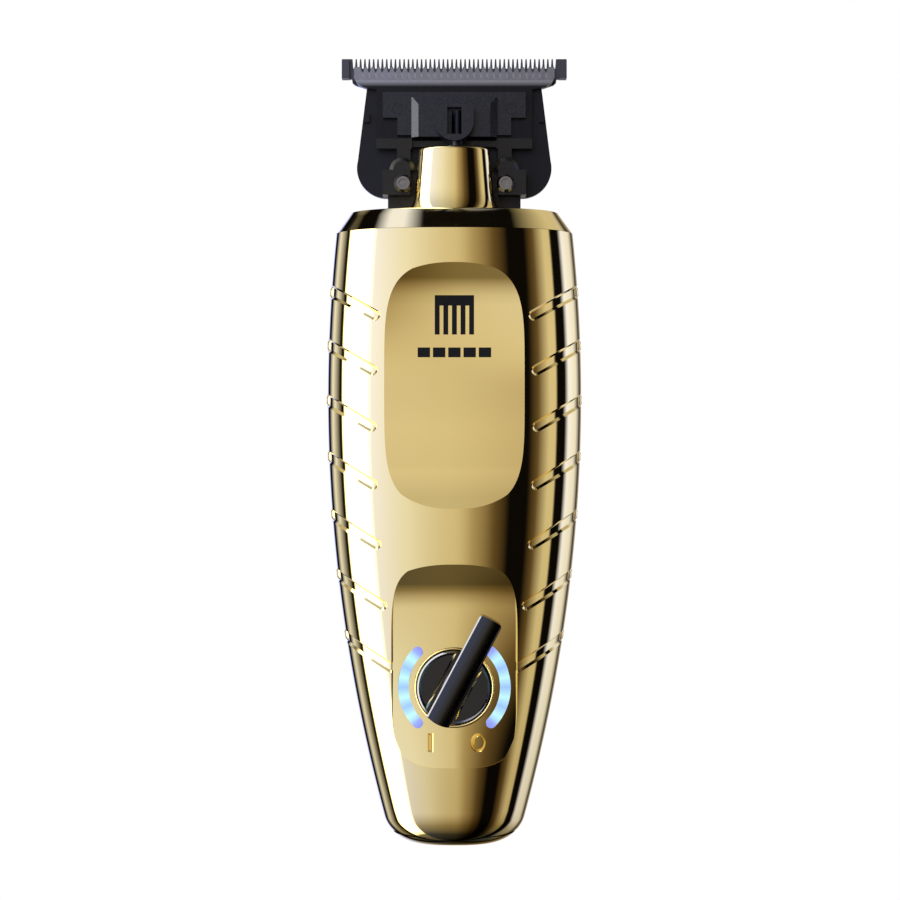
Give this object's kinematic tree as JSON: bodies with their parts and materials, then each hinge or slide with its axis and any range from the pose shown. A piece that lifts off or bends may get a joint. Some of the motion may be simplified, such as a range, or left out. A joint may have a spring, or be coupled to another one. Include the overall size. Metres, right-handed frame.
{
  "type": "hair clipper",
  "caption": "Cordless T-blade hair clipper with a polished gold housing, a lit rotary switch, a moving cutter, a motor and an inner chassis.",
  "frame": {"origin": "centre of the flat foot, on the plane that it stands on", "axes": "+Z from the foot to the blade teeth, +X to the right of the switch face, -Y out of the switch face"},
  "size_m": [0.0508, 0.0353, 0.1558],
  "materials": {
    "gold": "mirror-polished plated gold",
    "gold_plate": "plated gold",
    "black": "fine moulded texture",
    "black_gloss": "gloss",
    "steel": "brushed",
    "blade_black": "hard black coating",
    "cutter_black": "hard black coating, ground edges",
    "screw": "plated",
    "rubber": "matte",
    "light": "clear, lit from behind",
    "led": "gloss",
    "board": "solder mask",
    "cell": "shrink sleeve",
    "lead": "wire insulation",
    "copper": "wound copper and steel sheet",
    "bronze": "sintered"
  },
  "bodies": {
    "housing": {"front_housing": "gold", "back_housing": "gold", "head_cap": "gold", "neck_shroud": "gold", "neck_seal": "rubber", "base_plate": "gold_plate", "grip_pads_left": "gold", "grip_pads_right": "gold", "housing_screws": "screw", "chassis": "black", "battery_cell": "cell", "battery_tabs": "steel", "battery_straps": "black", "circuit_board": "board", "board_parts": "black_gloss", "board_screws": "screw", "status_leds": "led", "light_guide_left": "light", "light_guide_right": "light", "switch_bezel": "gold_plate", "switch_body": "black", "charge_socket": "black", "charge_leads": "lead", "dock_contacts": "gold_plate", "motor_can": "steel", "motor_end_cap": "black", "motor_magnets": "blade_black", "motor_bush": "bronze", "motor_mount": "steel", "motor_screws": "screw", "motor_damper": "rubber", "motor_leads": "lead", "battery_leads": "lead", "head_bridge": "black", "bridge_screws": "screw", "blade_bracket": "blade_black", "blade_screws": "screw", "comb_blade": "blade_black", "tension_spring": "blade_black", "spring_hooks": "blade_black"},
    "rotor": {"motor_shaft": "steel", "motor_armature": "copper", "eccentric_cam": "steel"},
    "cutter": {"cutter_blade": "cutter_black", "drive_yoke": "cutter_black", "yoke_rivets": "cutter_black"},
    "switch": {"switch_knob": "black_gloss", "knob_stem": "steel", "stem_clip": "steel"}
  },
  "joints": [
    {"name": "switch_turn", "type": "hinge", "parent": "housing", "child": "switch", "pos_m": [0, -0.0132, 0.0315], "axis": [0, -1, 0], "range_deg": [0, 56]},
    {"name": "motor_spin", "type": "hinge", "parent": "housing", "child": "rotor", "pos_m": [0, -0.0045, 0.1], "axis": [0, 0, 1], "continuous": true},
    {"name": "cutter_slide", "type": "slide", "parent": "housing", "child": "cutter", "axis": [1, 0, 0], "range_m": [-0.00065, 0.00065]}
  ]
}
